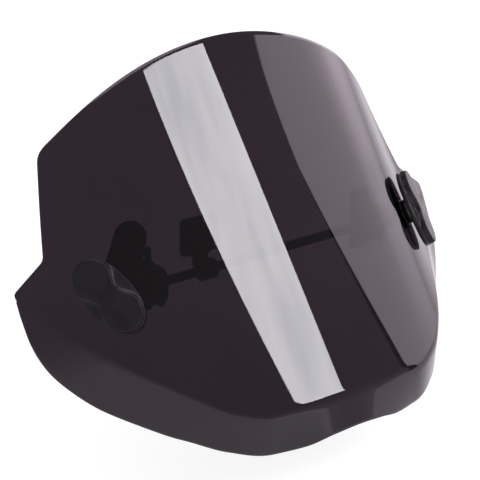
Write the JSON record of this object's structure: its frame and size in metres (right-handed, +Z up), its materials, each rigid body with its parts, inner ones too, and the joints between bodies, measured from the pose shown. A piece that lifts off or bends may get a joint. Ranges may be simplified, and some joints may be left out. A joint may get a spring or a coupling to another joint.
{
  "type": "motorcycle windshield screen",
  "caption": "Smoked touring windscreen with flared side ears and a turned-down lower lip, clamped by wing knobs to arms that tilt on a cross rod.",
  "frame": {"origin": "middle of the cross rod, on its axis, which is the axis that the screen tilts about", "axes": "+X across the motorcycle to the right as seen from the front, +Y to the rear, +Z up"},
  "size_m": [0.4334, 0.2014, 0.2936],
  "materials": {
    "smoked_acrylic": "dark smoke tint, polished",
    "knob_plastic": "fine grained black moulding",
    "stay_plastic": "black glass-filled moulding",
    "steel": "zinc plated, turned",
    "black_steel": "satin black",
    "brass": "knurled",
    "rubber": "matt black",
    "nylon": "natural grey nylon"
  },
  "bodies": {
    "stay": {"cross_rod": "black_steel", "steady_clip": "stay_plastic", "steady_liner": "rubber", "steady_bolt": "black_steel", "bracket_left": "stay_plastic", "bracket_cap_left": "stay_plastic", "cap_screw_left_upper": "steel", "cap_screw_left_lower": "steel", "rod_liner_left": "rubber", "foot_sleeve_left_upper": "steel", "foot_sleeve_left_lower": "steel", "bracket_right": "stay_plastic", "bracket_cap_right": "stay_plastic", "cap_screw_right_upper": "steel", "cap_screw_right_lower": "steel", "rod_liner_right": "rubber", "foot_sleeve_right_upper": "steel", "foot_sleeve_right_lower": "steel"},
    "screen": {"screen_sheet": "smoked_acrylic", "support_arm_left": "stay_plastic", "arm_pad_left": "rubber", "hub_bush_left": "nylon", "stud_left": "steel", "stud_washer_left": "steel", "grommet_left": "rubber", "support_arm_right": "stay_plastic", "arm_pad_right": "rubber", "hub_bush_right": "nylon", "stud_right": "steel", "stud_washer_right": "steel", "grommet_right": "rubber"},
    "clamp_left": {"clamp_washer_left": "steel"},
    "knob_left": {"knob_left": "knob_plastic", "knob_insert_left": "brass"},
    "clamp_right": {"clamp_washer_right": "steel"},
    "knob_right": {"knob_right": "knob_plastic", "knob_insert_right": "brass"}
  },
  "joints": [
    {"name": "screen_tilt", "type": "hinge", "parent": "stay", "child": "screen", "pos_m": [0, 0, 0], "axis": [1, 0, 0], "range_deg": [-10, 12]},
    {"name": "clamp_left_slide", "type": "slide", "parent": "screen", "child": "clamp_left", "axis": [-0.6382, -0.6275, 0.446], "range_m": [0, 0.002]},
    {"name": "knob_left_turn", "type": "hinge", "parent": "clamp_left", "child": "knob_left", "pos_m": [-0.1576, -0.00483, 0.00276], "axis": [-0.6382, -0.6275, 0.446], "range_deg": [0, 720]},
    {"name": "clamp_right_slide", "type": "slide", "parent": "screen", "child": "clamp_right", "axis": [0.6382, -0.6275, 0.446], "range_m": [0, 0.002]},
    {"name": "knob_right_turn", "type": "hinge", "parent": "clamp_right", "child": "knob_right", "pos_m": [0.1576, -0.00483, 0.00276], "axis": [0.6382, -0.6275, 0.446], "range_deg": [0, 720]}
  ],
  "couplings": [
    {"joint": "clamp_left_slide", "follows": "knob_left_turn", "m_per_rad": 0.00015915},
    {"joint": "clamp_right_slide", "follows": "knob_right_turn", "m_per_rad": 0.00015915}
  ]
}
